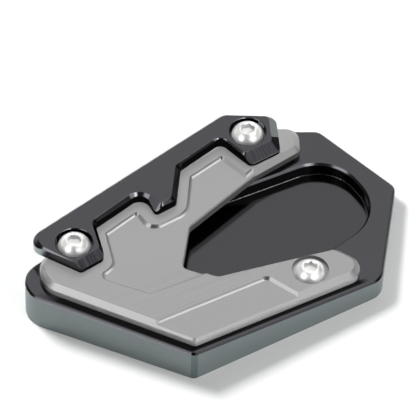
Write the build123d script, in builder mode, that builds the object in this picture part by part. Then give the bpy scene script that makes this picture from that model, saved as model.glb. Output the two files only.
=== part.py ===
"""Kickstand foot enlarger: a black base plate with a pocket for the foot of the stand, a grey
clamp plate with a notch for its leg, a black bar along the back, and three button head screws.

Millimetres. +Z is up and the ground is Z = 0. The deck is the top face of the base plate. It is
tilted, because the base plate is a wedge that gets thinner towards +X. All outlines lie in the
deck's own plane: x along its slope, y across it. A height is measured square to the deck.
"""

import os
from math import cos, radians, sin

from build123d import *

# wedge and plates
taper = 3.5
deck_height = 9.4
deck_x = 7.56
deck_y = 17.78
base_stock = 20
plate_thickness = 4
bar_thickness = 4
base_bevel = 0.65
plate_bevel = 1.8
bar_bevel = 3
bevel_angle = 45
deburr = 0.4
seat_deburr = 0.2

# pocket for the foot of the stand, and the two sunk panels of the clamp plate
pocket_depth = 4.8
pocket_fillet = 0.3
panel_depth = 1

# screws: place of each, turn of its socket, and the standard sizes of an M6 button head
left_screw_place = (-46.97, 11.37)
back_screw_place = (27.17, 11.51)
front_screw_place = (5.48, -43.51)
left_socket_turn = 18
back_socket_turn = 33
front_socket_turn = 48
long_screw = 12
short_screw = 10
thread_diameter = 6
shank_diameter = 5.9
tip_bevel = 0.8
head_diameter = 10.5
head_height = 3.3
rim_height = 0.5
crown_diameter = 5.6
socket_width = 4
socket_mouth = 4.8
socket_depth = 2.2
socket_countersink = 0.4
seat_diameter = 12
seat_depth = 1.7
clearance_diameter = 6.6

# x beyond which the notch is open
notch_mouth = 10

# outlines, each a list of corners (x, y, radius)
base_outline = [
    (-72.1, 17.8, 9),
    (-43.7, -43.8, 2.5),
    (22.6, -59.0, 6),
    (52.9, -32.4, 4),
    (50.1, 1.9, 4),
    (31.5, 17.8, 6),
]
pocket_outline = [
    (-20.0, 8.4, 10),
    (-35.5, -11.0, 8),
    (-27.0, -24.6, 6),
    (6.3, -38.9, 6),
    (42.5, -38.9, 16.4),
    (46.2, -8.9, 14.4),
]
plate_outline = [
    (-67.6, 17.0, 10),
    (-41.4, -41.3, 2.2),
    (22.9, -56.1, 5.5),
    (18.8, -42.5, 0),
    (8.0, -20.0, 0),
    (17.0, -8.0, 0),
    (19.6, -1.1, 0),
    (38.0, -2.3, 2.2),
    (44.0, 5.5, 4.6),
    (30.4, 17.0, 6),
]
notch_outline = [
    (19.6, -1.1, 0),
    (-11.4, -4.1, 2.5),
    (-24.5, -15.7, 2),
    (-18.9, -26.4, 3.5),
    (32.5, -48.4, 0),
    (40.0, -20.0, 0),
]
side_panel_outline = [
    (-34.6, 10.9, 0),
    (-41.2, -1.1, 4),
    (-48.9, -1.5, 2.5),
    (-40.2, -18.4, 2),
    (-15.0, -24.7, 0),
    (8.0, -12.0, 0),
    (21.0, -4.0, 0),
    (19.9, 1.3, 0),
    (17.0, 0.9, 0),
    (16.3, 11.9, 1.5),
    (2.3, 11.8, 0),
    (-8.7, 1.0, 6),
    (-21.8, 2.9, 3.5),
    (-20.5, 11.5, 1.5),
]
front_panel_outline = [
    (-65.0, -23.1, 0),
    (-62.0, -62.0, 0),
    (-0.6, -62.0, 0),
    (-6.5, -36.3, 3),
]
bar_top_outline = [
    (-57.1, 21.9, 4.6),
    (-52.2, 5.0, 0.8),
    (-42.0, 4.7, 0.8),
    (-37.0, 14.8, 3.2),
    (-15.9, 15.8, 5.2),
    (-14.6, 6.2, 0.6),
    (-10.5, 6.1, 1.6),
    (-0.4, 15.7, 3.4),
    (19.2, 16.2, 3.6),
    (20.4, 4.95, 1),
    (30.5, 3.5, 0.8),
    (36.7, 12.1, 1.5),
    (25.9, 21.9, 3),
]
bar_foot_outline = [
    (-58.6, 22.9, 4.3),
    (-51.4, 2.6, 1.5),
    (-42.3, 2.0, 2),
    (-36.1, 14.0, 1.6),
    (-15.4, 14.6, 3.6),
    (-17.5, 5.7, 1.2),
    (-9.4, 4.8, 2.5),
    (1.5, 15.2, 2),
    (19.0, 15.6, 2.5),
    (19.8, 1.6, 2.2),
    (31.3, 0.0, 2),
    (39.6, 11.6, 2.5),
    (27.5, 22.9, 4),
]


def deck_plane(height):
    """Plane parallel to the deck at a height above it."""
    slope = radians(taper)
    deck = Plane(
        origin=(deck_x, deck_y, deck_height),
        x_dir=(cos(slope), 0, -sin(slope)),
        z_dir=(sin(slope), 0, cos(slope)),
    )
    return deck.offset(height)


def corners(outline):
    """Corner points of an outline."""
    return [(x, y) for x, y, radius in outline]


def radii(outline):
    """Radius of each corner of an outline."""
    return [radius for x, y, radius in outline]


def stands_upright(face):
    """Whether a face stands square to the deck."""
    return abs(face.normal_at().dot(deck_plane(0).z_dir)) < 0.01


def is_notch_rim(edge):
    """Whether an edge of the notch's wall is level with the deck and on the wall's upper side."""
    start = deck_plane(0).to_local_coords(edge @ 0)
    end = deck_plane(0).to_local_coords(edge @ 1)
    middle = (start + end) / 2
    return start.Z > deburr and abs(start.Z - end.Z) < 0.001 and middle.X < notch_mouth


def button_screw(place, seat_height, length, socket_turn):
    """Button head screw that stands on a seat, at a place and height of the deck."""
    seat = deck_plane(seat_height)
    seat = Plane(seat.from_local_coords(place), x_dir=seat.x_dir, z_dir=seat.z_dir)
    side = Plane(seat.origin, x_dir=seat.x_dir, z_dir=-seat.y_dir)
    rim_radius = head_diameter / 2
    crown_radius = crown_diameter / 2
    shank_radius = shank_diameter / 2
    dome_centre = (
        rim_height**2 + rim_radius**2 - head_height**2 - crown_radius**2
    ) / (2 * (rim_height - head_height))
    dome_radius = ((rim_height - dome_centre) ** 2 + rim_radius**2) ** 0.5
    with BuildPart() as screw:
        with BuildSketch(side):
            with BuildLine():
                Polyline((rim_radius, rim_height), (rim_radius, 0), (shank_radius, 0),
                         (shank_radius, tip_bevel - length), (shank_radius - tip_bevel, -length),
                         (0, -length), (0, head_height), (crown_radius, head_height))
                RadiusArc((crown_radius, head_height), (rim_radius, rim_height), dome_radius)
            make_face()
        revolve(axis=Axis(seat.origin, seat.z_dir))
        with BuildSketch(seat.offset(head_height)):
            RegularPolygon(socket_width / 2, 6, major_radius=False, rotation=socket_turn)
        extrude(amount=-socket_depth, mode=Mode.SUBTRACT)
        with BuildSketch(seat.offset(head_height)):
            Circle(socket_mouth / 2)
        extrude(amount=-socket_countersink, taper=bevel_angle, mode=Mode.SUBTRACT)
    return screw


plate_top = plate_thickness
bar_top = plate_thickness + bar_thickness
deck_axis = Axis(deck_plane(0).origin, deck_plane(0).z_dir)

# base plate: chamfered block with the pocket, three tapped holes and a level underside
with BuildPart() as base_plate:
    with BuildSketch(deck_plane(0)):
        with BuildLine():
            FilletPolyline(*corners(base_outline), radius=radii(base_outline), close=True)
        make_face()
    extrude(amount=-base_stock)
    with BuildSketch(deck_plane(0)):
        with BuildLine():
            FilletPolyline(*corners(pocket_outline), radius=radii(pocket_outline), close=True)
        make_face()
    extrude(amount=-pocket_depth, mode=Mode.SUBTRACT)
    fillet(base_plate.faces(Select.LAST).sort_by(deck_axis)[0].edges(), radius=pocket_fillet)
    chamfer(base_plate.faces().sort_by(deck_axis)[-1].edges(), length=base_bevel)
    with BuildSketch(deck_plane(0)):
        with Locations(left_screw_place, back_screw_place, front_screw_place):
            Circle(thread_diameter / 2)
    extrude(amount=-base_stock, mode=Mode.SUBTRACT)
    split(bisect_by=Plane.XY, keep=Keep.TOP)

# clamp plate: its outer edge is chamfered, then the panels, the notch and the holes are cut
with BuildPart() as clamp_plate:
    with BuildSketch(deck_plane(0)):
        with BuildLine():
            FilletPolyline(*corners(plate_outline), radius=radii(plate_outline), close=True)
        make_face()
    extrude(amount=plate_thickness)
    chamfer(clamp_plate.faces().sort_by(deck_axis)[-1].edges(), length=plate_bevel)
    with BuildSketch(deck_plane(plate_top)):
        with BuildLine():
            FilletPolyline(*corners(side_panel_outline), radius=radii(side_panel_outline), close=True)
        make_face()
    extrude(amount=-panel_depth, taper=bevel_angle, mode=Mode.SUBTRACT)
    with BuildSketch(deck_plane(plate_top)):
        with BuildLine():
            FilletPolyline(*corners(front_panel_outline), radius=radii(front_panel_outline), close=True)
        make_face()
    extrude(amount=-panel_depth, taper=bevel_angle, mode=Mode.SUBTRACT)
    with BuildSketch(deck_plane(0)):
        with BuildLine():
            FilletPolyline(*corners(notch_outline), radius=radii(notch_outline), close=True)
        make_face()
    extrude(amount=plate_thickness, mode=Mode.SUBTRACT)
    notch_walls = clamp_plate.faces(Select.LAST).filter_by(stands_upright)
    chamfer(notch_walls.edges().filter_by(is_notch_rim), length=deburr)
    with BuildSketch(deck_plane(0)):
        with Locations(left_screw_place, back_screw_place, front_screw_place):
            Circle(clearance_diameter / 2)
    extrude(amount=plate_thickness, mode=Mode.SUBTRACT)
    with BuildSketch(deck_plane(plate_top)):
        with Locations(front_screw_place):
            Circle(seat_diameter / 2)
    extrude(amount=-seat_depth, mode=Mode.SUBTRACT)
    chamfer(clamp_plate.edges(Select.LAST).sort_by(deck_axis)[-1], length=seat_deburr)

# bar: its chamfer grows outwards from the top outline until it meets the foot outline
with BuildPart() as top_bar:
    with BuildSketch(deck_plane(bar_top - bar_bevel)):
        with BuildLine():
            FilletPolyline(*corners(bar_top_outline), radius=radii(bar_top_outline), close=True)
        make_face()
        offset(amount=bar_bevel)
    extrude(amount=bar_bevel, taper=bevel_angle)
    with BuildSketch(deck_plane(plate_top)) as bar_foot:
        with BuildLine():
            FilletPolyline(*corners(bar_foot_outline), radius=radii(bar_foot_outline), close=True)
        make_face()
    extrude(amount=bar_thickness, mode=Mode.INTERSECT)
    extrude(bar_foot.sketch, amount=bar_thickness - bar_bevel)
    with BuildSketch(deck_plane(plate_top)):
        with Locations(left_screw_place, back_screw_place):
            Circle(clearance_diameter / 2)
    extrude(amount=bar_thickness, mode=Mode.SUBTRACT)
    with BuildSketch(deck_plane(bar_top)):
        with Locations(left_screw_place, back_screw_place):
            Circle(seat_diameter / 2)
    extrude(amount=-seat_depth, mode=Mode.SUBTRACT)
    chamfer(top_bar.edges(Select.LAST).group_by(deck_axis)[-1], length=seat_deburr)

left_screw = button_screw(left_screw_place, bar_top - seat_depth, long_screw, left_socket_turn)
back_screw = button_screw(back_screw_place, bar_top - seat_depth, long_screw, back_socket_turn)
front_screw = button_screw(front_screw_place, plate_top - seat_depth, short_screw, front_socket_turn)

base_plate.part.label = "base_plate"
clamp_plate.part.label = "clamp_plate"
top_bar.part.label = "top_bar"
left_screw.part.label = "left_screw"
back_screw.part.label = "back_screw"
front_screw.part.label = "front_screw"

os.makedirs("parts", exist_ok=True)
export_step(base_plate.part, "parts/base_plate.step")
export_step(clamp_plate.part, "parts/clamp_plate.step")
export_step(top_bar.part, "parts/top_bar.step")
export_step(left_screw.part, "parts/left_screw.step")
export_step(back_screw.part, "parts/back_screw.step")
export_step(front_screw.part, "parts/front_screw.step")
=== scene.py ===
"""Looks of the kickstand foot enlarger: anodised plates, stainless screws, studio and camera."""
import math

import bpy
from mathutils import Matrix, Vector

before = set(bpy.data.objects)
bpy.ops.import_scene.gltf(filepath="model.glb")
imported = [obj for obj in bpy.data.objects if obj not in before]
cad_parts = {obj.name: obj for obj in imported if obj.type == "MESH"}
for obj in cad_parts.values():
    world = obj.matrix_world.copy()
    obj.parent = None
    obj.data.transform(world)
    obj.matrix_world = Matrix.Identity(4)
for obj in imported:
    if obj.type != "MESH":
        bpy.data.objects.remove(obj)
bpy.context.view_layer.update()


def along_deck(degrees):
    """Direction along the deck, at an angle from its X axis towards its Y axis."""
    turn = math.radians(degrees)
    return (math.cos(turn), math.sin(turn), 0)


def grey(level):
    """Colour without a tint."""
    return (level, level, level, 1)


# A pair of numbers is a corner (x, y), or a ramp: a mask that is 0 at the first and 1 at the
# second. Four numbers are a band: a mask that rises over the first two and falls over the last.

# the deck, which is the tilted top face of the base plate (metres), and millimetres in a metre
DECK_TILT = math.radians(3.5)
DECK_ORIGIN = Vector((0.00756, 0.01778, 0.0094))
DECK_X = Vector((math.cos(DECK_TILT), 0, -math.sin(DECK_TILT)))
DECK_Y = Vector((0, 1, 0))
DECK_UP = Vector((math.sin(DECK_TILT), 0, math.cos(DECK_TILT)))
MILLIMETRES = 1000.0

# lean of a face, from 1 where it lies level with the deck to 0 where it stands upright
LEVEL = 0.95
FLAT = 0.97
WALL_LEAN = (0.35, 0.15)
BEVEL_LEAN = (0.95, 0.85)
SLOPE_LEAST = 0.6
SLOPE_MOST = 0.85
GLINT_LEAN = (0.95, 0.8)

# clamp plate, in millimetres on the deck: its height, the depth of its panels, the width of its
# bevel, the corners of its two front edges, and the front edge of the arm under the back screw
PLATE_TOP = 4
PANEL_DEPTH = 1
PLATE_BEVEL = 1.8
PLATE_LEFT = (-67.6, 17.0)
PLATE_FRONT = (-41.4, -41.3)
PLATE_TIP = (22.9, -56.1)
ARM_ROOT = (19.6, -1.1)
ARM_END = (38.0, -2.3)

# base plate, in millimetres on the deck: its outline's corners, and how far in its pocket stays
BASE_OUTLINE = [
    (-72.1, 17.8), (-43.7, -43.8), (22.6, -59.0), (52.9, -32.4), (50.1, 1.9), (31.5, 17.8),
]
POCKET_MARGIN = 5

# where the plates' left front corner, the clamp plate's left end and the bar's right slopes face,
# and how squarely a slope has to face a way to count
FRONT_CORNER = along_deck(231)
LEFT_END = along_deck(160)
RIGHT_SLOPE = (0.743, -0.669, 0)
FACING = 0.6

# rounding that the edges show, in metres, and how finely it is sampled
BASE_EDGE = 0.0001
BAR_EDGE = 0.00012
PLATE_EDGE = 0.00015
EDGE_SAMPLES = 6

# black anodised finish: tones, fineness and strength of its grain and clouds, roughness
BLACK_FACE = (0.085, 0.085, 0.092, 1)
BLACK_BEVEL = (0.075, 0.075, 0.083, 1)
BLACK_SPECK = (0.05, 0.05, 0.055, 1)
BLACK_GRAIN = 3500.0
BLACK_CLOUD = 60.0
GRAIN_SHARE = 0.1
CLOUD_SHARE = 0.12
BLACK_ROUGHNESS = 0.1
GRAIN_ROUGHNESS = 0.05
SHEEN_ROUGHNESS = 0.25
SHEEN_DULLNESS = 0.6

# base plate's tones, all painted light and shade: shade on its bevels, a highlight along its
# bevel, shade along the clamp plate, shade and glints in its pocket, a grey-green sheen on its
# outer sides and shade at its front corner; and its bevels' roughness
BASE_BEVEL_SHADE = (0.042, 0.042, 0.047, 1)
BEVEL_HIGHLIGHT = (0.15, 0.145, 0.155, 1)
CONTACT_SHADE_TONE = grey(0.008)
POCKET_FLOOR_SHADE = (0.07, 0.07, 0.075, 1)
POCKET_GLINT = grey(0.22)
POCKET_WALL_SHADE = (0.02, 0.02, 0.021, 1)
SIDE_SHEEN = (0.18, 0.213, 0.216, 1)
SIDE_CORNER_SHADE = (0.1, 0.13, 0.132, 1)
BEVEL_CORNER_SHADE = grey(0.01)
BASE_BEVEL_ROUGHNESS = 0.06

# base plate's painted marks: the highlight along its bevel, the shade and glints of its pocket,
# and the shade at its front corner
HIGHLIGHT_HEIGHT = (-0.45, -0.75)
HIGHLIGHT_START = -2.0
POCKET_TOP = -0.5
GLINT_TOP = -1.0
GLINT_GRAIN = 2200.0
GLINT_SHARE = (0.53, 0.6)
CORNER_SIDE = (0.91, 0.925)
CORNER_BEVEL = (0.625, 0.64)

# painted contact shade on the base plate along the clamp plate: how far it reaches out from the
# three edges and in under them, where it ends to the right and back, and its stretch along the
# arm
CONTACT_SHADE_LEFT = (-2.7, -2.2)
CONTACT_SHADE_FRONT = (-1.8, -1.3)
CONTACT_SHADE_ARM = (-2.2, -1.7)
CONTACT_SHADE_UNDER = (0.3, 0.0)
CONTACT_SHADE_UNDER_ARM = 0.2
CONTACT_SHADE_RIGHT_END = (19.5, 16.5)
CONTACT_SHADE_BACK_END = (8.0, 1.0)
CONTACT_SHADE_ALONG_ARM = (17.0, 20.0, 35.0, 37.5)

# bar's tones: cutter marks on the pads; painted highlight and shade on bevels by the way they
# face; walls painted black as shade, lighter high up on the left end; ends painted grey-green as
# sheen; its tint and roughness
PAD_BRUSH = (0.035, 0.035, 0.04, 1)
FRONT_BEVEL_HIGHLIGHT = (0.12, 0.12, 0.13, 1)
RIGHT_BEVEL_SHADE = (0.018, 0.018, 0.02, 1)
RIGHT_END_SHEEN = (0.185, 0.2, 0.2, 1)
BAR_WALL_SHADE = grey(0.008)
BAR_FLANK_LIGHT = (0.09, 0.095, 0.095, 1)
BAR_END_SHEEN = (0.42, 0.47, 0.47, 1)
BAR_TINT = grey(0.5)
BAR_BEVEL_ROUGHNESS = 0.04
PAD_ROUGHNESS = 0.3

# bar's places, in millimetres on the deck: its ends, flank and pads, and its right end's bevel
BAR_LEFT = -50.0
BAR_LEFT_ROUND = (14.5, 17.5)
BAR_RIGHT = 33.0
FLANK_HEIGHT = (PLATE_TOP + 0.6, PLATE_TOP + 2.0)
PAD_BACK = 5.1
RIGHT_END_START = 27.0
RIGHT_END_FRONT = 4.8

# cutter marks on the bar's pads: strokes for a millimetre across and up, and their contrast
BRUSH_ACROSS = 1.8
BRUSH_UP = 0.1
BRUSH_SHARE = (0.35, 0.65)

# clamp plate's tones, darkest and lightest for its slopes and its flats; painted shade on its
# panels' walls, front corner, left end and upright walls, painted light on its outer sides; its
# grain and its gloss
SATIN = (grey(0.272), grey(0.358))
MATT = (grey(0.242), grey(0.318))
PANEL_WALL_SHADE = grey(0.24)
PLATE_CORNER_SHADE = grey(0.09)
PLATE_LEFT_END_SHADE = grey(0.19)
INNER_WALL_SHADE = grey(0.15)
OUTER_SIDE_LIGHT = grey(0.64)
PLATE_GRAIN = 3000.0
PLATE_ROUGHNESS = 0.3
PLATE_GRAIN_ROUGHNESS = 0.08
PLATE_METAL = 0.45
FLAT_DULLNESS = 0.3

# clamp plate's places, in millimetres: its panels, the round at their walls' foot, its bevel's
# corners, and the strip between the panels
PANEL_INSET = PLATE_BEVEL + 0.1
PANEL_RIGHT = 19.5
PANEL_BACK = 14.0
FOOT_ROUND = (0.45 * PANEL_DEPTH, 0.6 * PANEL_DEPTH)
FOOT_LIFT = 0.8
CORNER_TURN = (0.63, 0.65)
CORNER_FOOT = PLATE_TOP - 0.9
LEFT_END_TURN = (0.56, 0.66)
OUTER_EDGE = (1.5, 0.5)
BETWEEN_PANELS = (12.0, 14.0, 26.0, 34.0)

# cutter lines on the clamp plate: their pitch on the bevel, their strokes between the panels, and
# how strong the lines, the grain and the strokes are
CUTTER_PITCH = 0.5
STROKES_ACROSS = 1.6
STROKES_ALONG = 0.03
LINE_CONTRAST = 0.3
GRAIN_CONTRAST = 0.15
STROKE_CONTRAST = 1.3

# stainless steel of the screws: tones, with painted shade on their upright walls, fineness of its
# grain and its patches, gloss
STEEL_DARK = (0.66, 0.655, 0.65, 1)
STEEL_LIGHT = (0.92, 0.915, 0.905, 1)
SOCKET_SHADE = grey(0.4)
STEEL_GRAIN = 1500.0
STEEL_PATCH = 250.0
PATCH_SHARE = (0.4, 0.55)
STEEL_METAL = 0.5
STEEL_ROUGHNESS = 0.29
STEEL_GRAIN_ROUGHNESS = 0.04

# camera, in the deck's own axes
CAMERA_TURN = math.radians(41.98)
CAMERA_RISE = math.radians(48.8)
CAMERA_ROLL = math.radians(1.26)
CAMERA_DISTANCE = 1.461
CAMERA_LENS = 389.4
CAMERA_REACH = 20

# lamps: name, direction from the deck, distance, size, brightness
SOFTBOXES = [
    ("back_box", (0.42, 0.5, 0.75), 1.0, 0.9, 0.95),
    ("front_box", (0.1, -0.8, 0.58), 0.9, 0.5, 1.5),
]
# these show in reflections only
SHEEN_BOXES = [
    ("left_box", (-0.82, 0.06, 0.57), 0.9, 0.46, 4.0),
    ("ceiling_box", (0.34, -0.26, 0.9), 0.9, 0.5, 5.0),
    ("corner_box", (-0.2, -0.75, 0.63), 0.9, 0.22, 6.5),
]
# these show in no reflection, and the base plate alone throws their shadow
FILL_BOXES = [
    ("key_box", (-0.12, 0.66, 0.74), 0.9, 0.26, 43.0),
    ("low_box", (0.2, -0.88, 0.43), 0.9, 0.5, 5.0),
]

# room and floor: brightness of the room, heights of its skyline, size and tone of the paper, and
# its glow close by and far away, with the distances in metres between which it changes
ROOM = 0.12
SKYLINE_LOW = 0.08
SKYLINE_TOP = 0.2
FLOOR_SIZE = 6
PAPER_WHITE = grey(0.8)
FLOOR_GLOW = 0.07
FAR_FLOOR_GLOW = 0.9
GLOW_CHANGE = (0.25, 0.6)


class Wire:
    """Output of a shader node, for sums on numbers."""

    def __init__(self, sheet, socket):
        self.sheet = sheet
        self.socket = socket

    def work_out(self, operation, *values, clamp=False):
        settings = {"operation": operation, "use_clamp": clamp}
        return self.sheet.wire("Math", settings, dict(enumerate(values)))

    def __add__(self, other):
        return self.work_out("ADD", self, other)

    def __radd__(self, other):
        return self.work_out("ADD", other, self)

    def __sub__(self, other):
        return self.work_out("SUBTRACT", self, other)

    def __rsub__(self, other):
        return self.work_out("SUBTRACT", other, self)

    def __mul__(self, other):
        return self.work_out("MULTIPLY", self, other)

    def __rmul__(self, other):
        return self.work_out("MULTIPLY", other, self)

    def __truediv__(self, other):
        return self.work_out("DIVIDE", self, other)

    def __rtruediv__(self, other):
        return self.work_out("DIVIDE", other, self)

    def __gt__(self, other):
        return self.work_out("GREATER_THAN", self, other)

    def __lt__(self, other):
        return self.work_out("LESS_THAN", self, other)

    def least(self, other):
        return self.work_out("MINIMUM", self, other)

    def most(self, other):
        return self.work_out("MAXIMUM", self, other)

    def sine(self):
        return self.work_out("SINE", self)

    def ramp(self, start, end):
        """0 at start and 1 at end, straight between them."""
        return self.work_out("ADD", (self - start) / (end - start), 0, clamp=True)

    def band(self, start, full, last, end):
        """1 from full to last, and 0 before start and after end."""
        return self.ramp(start, full) * self.ramp(end, last)


class Sheet:
    """Nodes of one material or of the world."""

    def __init__(self, tree):
        self.tree = tree
        tree.nodes.clear()

    def node(self, kind, settings=None, sockets=None):
        """Node with its settings, then with values or links on its sockets."""
        made = self.tree.nodes.new("ShaderNode" + kind)
        for name, value in (settings or {}).items():
            setattr(made, name, value)
        for name, value in (sockets or {}).items():
            if isinstance(value, Wire):
                self.tree.links.new(value.socket, made.inputs[name])
            else:
                made.inputs[name].default_value = value
        return made

    def wire(self, kind, settings=None, sockets=None, output=0):
        """One output of a new node."""
        return Wire(self, self.node(kind, settings, sockets).outputs[output])

    def vector(self, operation, first, second, output=0):
        """Sum on two vectors."""
        settings = {"operation": operation}
        return self.wire("VectorMath", settings, {0: first, 1: second}, output)

    def mix(self, share, first, second):
        """Colour between two colours."""
        return self.wire("Mix", {"data_type": "RGBA"}, {0: share, 6: first, 7: second}, 2)

    def noise(self, place, scale, detail=2.0):
        """Cloudy pattern, from 0 to 1 and mostly near a half."""
        return self.wire("TexNoise", {}, {"Vector": place, "Scale": scale, "Detail": detail})


class Metal(Sheet):
    """Anodised or bare metal, with the deck's own axes at hand for patterns."""

    def __init__(self, name, **constants):
        self.material = bpy.data.materials.new(name)
        self.material.use_nodes = True
        super().__init__(self.material.node_tree)
        self.surface = self.node("BsdfPrincipled", {}, {"Metallic": 1.0, **constants})
        out = self.node("OutputMaterial")
        self.tree.links.new(self.surface.outputs[0], out.inputs[0])
        self.place = self.wire("TexCoord", output="Object")
        self.normal = self.wire("NewGeometry", output="Normal")
        self.x = self.along(DECK_X)
        self.y = self.along(DECK_Y)
        self.height = self.along(DECK_UP)
        self.lean = self.towards(DECK_UP)
        self.side = self.lean.ramp(*WALL_LEAN)

    def along(self, axis):
        """Distance from the deck's origin along an axis, in millimetres."""
        reach = self.vector("DOT_PRODUCT", self.place, axis, "Value")
        return (reach - DECK_ORIGIN.dot(axis)) * MILLIMETRES

    def towards(self, direction):
        """How squarely the surface faces a direction: 1 straight at it, 0 side on."""
        return self.vector("DOT_PRODUCT", self.normal, direction, "Value")

    def inside(self, start, end):
        """Distance to the left of a line across the deck, in millimetres."""
        run = math.dist(start, end)
        across = ((start[1] - end[1]) / run, (end[0] - start[0]) / run)
        return (self.x - start[0]) * across[0] + (self.y - start[1]) * across[1]

    def within(self, outline, margin):
        """1 where the place is deeper inside an outline without hollows than a margin, else 0."""
        share = 1.0
        for start, end in zip(outline, outline[1:] + outline[:1]):
            share = share * (self.inside(start, end) > margin)
        return share

    def rounded(self, radius):
        """Normal that turns smoothly round the edges."""
        return self.wire("Bevel", {"samples": EDGE_SAMPLES}, {"Radius": radius})

    def strokes(self, across, along):
        """Fine strokes: noise that is drawn out along one of two distances."""
        return self.noise(self.wire("CombineXYZ", {}, {0: across, 1: along}), 1.0)

    def paint(self, **sockets):
        """Feed the surface's sockets."""
        for name, value in sockets.items():
            self.tree.links.new(value.socket, self.surface.inputs[name.replace("_", " ")])
        return self.material


def black_anodised(name, **constants):
    """Black anodised aluminium: the metal, its bevels, its grain and its tone."""
    metal = Metal(name, **constants)
    bevel = metal.lean.ramp(*BEVEL_LEAN) * (1 - metal.side)
    grain = metal.noise(metal.place, BLACK_GRAIN)
    cloud = metal.noise(metal.place, BLACK_CLOUD)
    tone = metal.mix(bevel, BLACK_FACE, BLACK_BEVEL)
    tone = metal.mix(cloud * CLOUD_SHARE + grain * GRAIN_SHARE, tone, BLACK_SPECK)
    return metal, bevel, grain, tone


def painted_contact_shade(metal, from_left, from_front):
    """Painted contact shade on the base plate along the clamp plate: 1 on it, 0 off it."""
    line = from_left.ramp(*CONTACT_SHADE_LEFT) * from_front.ramp(*CONTACT_SHADE_FRONT)
    line = line * from_left.least(from_front).ramp(*CONTACT_SHADE_UNDER)
    line = line * metal.x.ramp(*CONTACT_SHADE_RIGHT_END) * metal.y.ramp(*CONTACT_SHADE_BACK_END)
    from_arm = metal.inside(ARM_ROOT, ARM_END)
    under_arm = from_arm.ramp(*CONTACT_SHADE_ARM) * (from_arm < CONTACT_SHADE_UNDER_ARM)
    under_arm = under_arm * metal.x.band(*CONTACT_SHADE_ALONG_ARM)
    return line.most(under_arm) * (metal.lean > LEVEL)


def black_plate():
    """Base plate: its outer sides painted grey-green as sheen, its pocket and the strip along the
    clamp plate painted near black as shade.
    """
    metal, bevel, grain, tone = black_anodised("black anodised plate")
    pocket = metal.within(BASE_OUTLINE, POCKET_MARGIN)
    outer = metal.side * (1 - pocket)
    rim = bevel * (1 - pocket)
    from_left = metal.inside(PLATE_LEFT, PLATE_FRONT)
    from_front = metal.inside(PLATE_FRONT, PLATE_TIP)
    bevel_highlight = rim * metal.height.ramp(*HIGHLIGHT_HEIGHT) * (from_front > HIGHLIGHT_START)
    floor = pocket * (metal.height < POCKET_TOP) * (1 - metal.side)
    glints = metal.noise(metal.place, GLINT_GRAIN).ramp(*GLINT_SHARE)
    glints = glints * metal.lean.ramp(*GLINT_LEAN) * (metal.height < GLINT_TOP)
    corner = metal.towards(FRONT_CORNER)
    # painted shade: the base plate's bevels darker than its faces
    tone = metal.mix(rim, tone, BASE_BEVEL_SHADE)
    # painted highlight: a lighter line on the lower part of the base plate's bevel, except along
    # its right-front edge
    tone = metal.mix(bevel_highlight, tone, BEVEL_HIGHLIGHT)
    # painted shade: near black on the base plate where it meets the clamp plate
    tone = metal.mix(painted_contact_shade(metal, from_left, from_front), tone, CONTACT_SHADE_TONE)
    # painted shade: the pocket's floor darker than the deck
    tone = metal.mix(floor, tone, POCKET_FLOOR_SHADE)
    # painted glints: light specks where the pocket's floor turns up into its walls
    tone = metal.mix(glints * pocket, tone, POCKET_GLINT)
    # painted shade: the pocket's walls near black
    tone = metal.mix(metal.side * pocket, tone, POCKET_WALL_SHADE)
    # painted reflection: the outer sides a light grey-green sheen
    tone = metal.mix(outer, tone, SIDE_SHEEN)
    # painted shade: a darker strip down the rounded front corner of the outer sides
    tone = metal.mix(outer * corner.ramp(*CORNER_SIDE), tone, SIDE_CORNER_SHADE)
    # painted shade: the bevel near black where it turns round the front corner
    tone = metal.mix(rim * corner.ramp(*CORNER_BEVEL), tone, BEVEL_CORNER_SHADE)
    rough = BLACK_ROUGHNESS + grain * GRAIN_ROUGHNESS
    rough = rough + outer * SHEEN_ROUGHNESS + bevel * BASE_BEVEL_ROUGHNESS
    return metal.paint(
        Base_Color=tone,
        Roughness=rough,
        Metallic=1 - outer * SHEEN_DULLNESS,
        Normal=metal.rounded(BASE_EDGE),
    )


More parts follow.
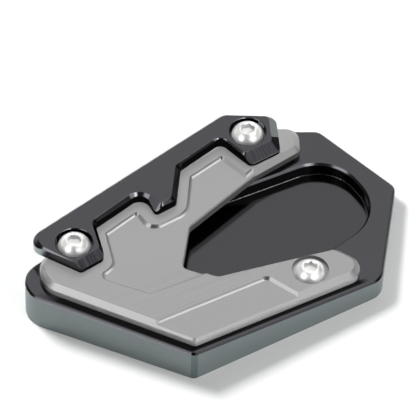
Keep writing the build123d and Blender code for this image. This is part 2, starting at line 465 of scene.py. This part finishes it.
def black_bar():
    """Bar: walls painted black as shade, ends painted grey-green as sheen, bevels painted lighter
    or darker by the way they face, cutter marks on the pads' bevels.
    """
    tint = {"Specular Tint": BAR_TINT}
    metal, bevel, grain, tone = black_anodised("black anodised bar", **tint)
    left = metal.x < BAR_LEFT
    ends = metal.side * (left * metal.y.ramp(*BAR_LEFT_ROUND) + (metal.x > BAR_RIGHT))
    flank_light = metal.side * left * metal.height.ramp(*FLANK_HEIGHT)
    pads = bevel * (metal.y < PAD_BACK)
    brush = metal.strokes(metal.x * BRUSH_ACROSS, metal.height * BRUSH_UP).ramp(*BRUSH_SHARE)
    front_highlight = bevel * (metal.towards(DECK_Y) < -FACING) * (1 - pads)
    right_shade = bevel * (metal.towards(RIGHT_SLOPE) > FACING)
    right_end_sheen = right_shade * (metal.x > RIGHT_END_START) * (metal.y > RIGHT_END_FRONT)
    tone = metal.mix(pads * brush, tone, PAD_BRUSH)
    # painted highlight: the bevels that face the front lighter
    tone = metal.mix(front_highlight, tone, FRONT_BEVEL_HIGHLIGHT)
    # painted shade: the bevels that face right near black
    tone = metal.mix(right_shade, tone, RIGHT_BEVEL_SHADE)
    # painted sheen: the right-facing bevels at the bar's right end a light grey-green
    tone = metal.mix(right_end_sheen, tone, RIGHT_END_SHEEN)
    # painted shade: the bar's upright walls near black
    tone = metal.mix(metal.side, tone, BAR_WALL_SHADE)
    # painted light: the upper part of the bar's left-end walls lighter, fading to the painted
    # shade at their foot
    tone = metal.mix(flank_light, tone, BAR_FLANK_LIGHT)
    # painted reflection: the upright walls at the bar's two ends a light grey-green sheen
    tone = metal.mix(ends, tone, BAR_END_SHEEN)
    rough = BLACK_ROUGHNESS + grain * GRAIN_ROUGHNESS + ends * SHEEN_ROUGHNESS
    rough = rough + bevel * BAR_BEVEL_ROUGHNESS + pads * PAD_ROUGHNESS
    return metal.paint(
        Base_Color=tone,
        Roughness=rough,
        Metallic=1 - ends * SHEEN_DULLNESS,
        Normal=metal.rounded(BAR_EDGE),
    )


def grey_anodised():
    """Titanium grey anodised aluminium: satin, with cutter lines on bevels and between panels,
    painted shade on its panels' walls, upright walls, front corner and left end, and painted
    light on its outer sides.
    """
    metal = Metal("grey anodised")
    from_left = metal.inside(PLATE_LEFT, PLATE_FRONT)
    from_front = metal.inside(PLATE_FRONT, PLATE_TIP)
    flat = metal.lean > FLAT
    slope = (metal.lean > SLOPE_LEAST) * (metal.lean < SLOPE_MOST)
    inner = (from_left > PANEL_INSET) * (from_front > PANEL_INSET)
    inner = inner * (metal.x < PANEL_RIGHT) * (metal.y < PANEL_BACK)
    wall = slope * inner * (metal.height > PLATE_TOP - PANEL_DEPTH)
    bevel = slope - wall

    # the foot of the panels' walls turns up into the panel, except where a wall faces left
    facing_left = metal.towards(DECK_X) < -FACING
    foot = wall * (PLATE_TOP - metal.height).ramp(*FOOT_ROUND) * (1 - facing_left)
    upwards = {0: DECK_UP, "Scale": foot * FOOT_LIFT}
    lift = metal.wire("VectorMath", {"operation": "SCALE"}, upwards)
    turned = metal.vector("ADD", metal.rounded(PLATE_EDGE), lift)

    lines = (metal.height * (2 * math.pi / CUTTER_PITCH)).sine() * bevel
    grain = metal.noise(metal.place, PLATE_GRAIN)
    strokes = metal.strokes(from_front * STROKES_ACROSS, from_left * STROKES_ALONG)
    between = from_front.band(*BETWEEN_PANELS) * (metal.lean > LEVEL)
    shade = 0.5 + lines * LINE_CONTRAST + (grain - 0.5) * GRAIN_CONTRAST
    shade = shade + (strokes - 0.5) * between * STROKE_CONTRAST

    corner = slope * metal.towards(FRONT_CORNER).ramp(*CORNER_TURN) * (metal.height > CORNER_FOOT)
    left_end = bevel * metal.towards(LEFT_END).ramp(*LEFT_END_TURN)
    outer = metal.side * from_left.least(from_front).ramp(*OUTER_EDGE)
    tone = metal.mix(flat, metal.mix(shade, *SATIN), metal.mix(shade, *MATT))
    # painted shade: the upper part of the panels' walls darker, except where a wall faces left
    tone = metal.mix((wall - foot) * (1 - facing_left), tone, PANEL_WALL_SHADE)
    # painted shade: the slopes at the front corner darker
    tone = metal.mix(corner, tone, PLATE_CORNER_SHADE)
    # painted shade: the bevel at the left end darker
    tone = metal.mix(left_end, tone, PLATE_LEFT_END_SHADE)
    # painted shade: the upright walls darker, such as those of its holes and notch
    tone = metal.mix(metal.side, tone, INNER_WALL_SHADE)
    # painted light: the outer sides along the left and front edges lighter
    tone = metal.mix(outer, tone, OUTER_SIDE_LIGHT)
    return metal.paint(
        Base_Color=tone,
        Roughness=PLATE_ROUGHNESS + grain * PLATE_GRAIN_ROUGHNESS,
        Metallic=PLATE_METAL - flat * FLAT_DULLNESS,
        Normal=metal.vector("NORMALIZE", turned, (0, 0, 0)),
    )


def stainless():
    """Stainless steel, tumbled bright."""
    metal = Metal("stainless steel", Metallic=STEEL_METAL)
    grain = metal.noise(metal.place, STEEL_GRAIN)
    patch = metal.noise(metal.place, STEEL_PATCH, 0.0).ramp(*PATCH_SHARE)
    tone = metal.mix(patch, STEEL_DARK, STEEL_LIGHT)
    # painted shade: the screws' upright walls darker, such as the hex socket's
    tone = metal.mix(metal.side, tone, SOCKET_SHADE)
    return metal.paint(Base_Color=tone, Roughness=STEEL_ROUGHNESS + grain * STEEL_GRAIN_ROUGHNESS)


def dress(names, material):
    """Give CAD nodes a material."""
    for name in names:
        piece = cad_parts[name]
        piece.data.materials.clear()
        piece.data.materials.append(material)


def deck_turn():
    """Turn from the deck's axes to the frame's."""
    return Matrix.Rotation(DECK_TILT, 3, "Y")


def place_camera():
    """Camera with a long lens that looks at the deck's origin."""
    right = Vector((math.cos(CAMERA_TURN), -math.sin(CAMERA_TURN), 0))
    back = Vector((
        -math.sin(CAMERA_TURN) * math.cos(CAMERA_RISE),
        -math.cos(CAMERA_TURN) * math.cos(CAMERA_RISE),
        math.sin(CAMERA_RISE),
    ))
    up = back.cross(right)
    side = right * math.cos(CAMERA_ROLL) + up * math.sin(CAMERA_ROLL)
    head = up * math.cos(CAMERA_ROLL) - right * math.sin(CAMERA_ROLL)
    turn = deck_turn()
    place = Matrix((turn @ side, turn @ head, turn @ back)).transposed().to_4x4()
    place.translation = DECK_ORIGIN + turn @ back * CAMERA_DISTANCE
    data = bpy.data.cameras.new("camera")
    data.lens = CAMERA_LENS
    data.clip_end = CAMERA_REACH
    camera = bpy.data.objects.new("camera", data)
    camera.matrix_world = place
    bpy.context.collection.objects.link(camera)
    bpy.context.scene.camera = camera


def hang_softbox(name, direction, distance, size, brightness):
    """Square lamp that faces the deck, as bright all over as a colour of that value."""
    aim = deck_turn() @ Vector(direction).normalized()
    data = bpy.data.lights.new(name, "AREA")
    data.size = size
    data.energy = brightness * math.pi * size * size
    lamp = bpy.data.objects.new(name, data)
    lamp.location = DECK_ORIGIN + aim * distance
    lamp.rotation_euler = aim.to_track_quat("Z", "Y").to_euler()
    bpy.context.collection.objects.link(lamp)
    return lamp


def lay_floor():
    """White paper floor, plain white where no shadow falls on it."""
    bpy.ops.object.select_all(action="DESELECT")
    bpy.ops.mesh.primitive_plane_add(size=FLOOR_SIZE)
    floor = bpy.context.object
    floor.name = "floor"
    paper = bpy.data.materials.new("white paper")
    paper.use_nodes = True
    sheet = Sheet(paper.node_tree)
    seen = sheet.node("LightPath")
    camera, gloss, glass = (
        Wire(sheet, seen.outputs[name])
        for name in ("Is Camera Ray", "Is Glossy Ray", "Is Transmission Ray")
    )
    place = sheet.wire("TexCoord", output="Object")
    far = sheet.vector("LENGTH", place, (0, 0, 0), "Value").ramp(*GLOW_CHANGE)
    level = FLOOR_GLOW + far * (FAR_FLOOR_GLOW - FLOOR_GLOW)
    matt = sheet.wire("BsdfDiffuse", {}, {"Color": PAPER_WHITE})
    glow = sheet.wire("Emission", {}, {"Color": (camera + gloss + glass) * level})
    both = sheet.wire("AddShader", {}, {0: matt, 1: glow})
    sheet.node("OutputMaterial", {}, {0: both})
    floor.data.materials.append(paper)


def light_room():
    """Dim room with a white skyline, and lamps round the object."""
    room = bpy.data.worlds.new("studio")
    bpy.context.scene.world = room
    room.use_nodes = True
    sheet = Sheet(room.node_tree)
    place = sheet.wire("TexCoord", output="Generated")
    height = sheet.wire("SeparateXYZ", {}, {0: place}, "Z")
    strength = ROOM + height.ramp(SKYLINE_TOP, SKYLINE_LOW) * (1 - ROOM)
    light = sheet.wire("Background", {}, {"Color": grey(1), "Strength": strength})
    sheet.node("OutputWorld", {}, {0: light})
    for softbox in SOFTBOXES:
        hang_softbox(*softbox)
    for softbox in SHEEN_BOXES:
        hang_softbox(*softbox).visible_diffuse = False
    blockers = bpy.data.collections.new("shadow of the base plate")
    blockers.objects.link(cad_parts["base_plate"])
    for softbox in FILL_BOXES:
        lamp = hang_softbox(*softbox)
        lamp.visible_glossy = False
        lamp.light_linking.blocker_collection = blockers


bpy.context.scene.view_settings.view_transform = "Standard"
place_camera()
lay_floor()
light_room()
dress(("base_plate",), black_plate())
dress(("top_bar",), black_bar())
dress(("clamp_plate",), grey_anodised())
dress(("left_screw", "back_screw", "front_screw"), stainless())
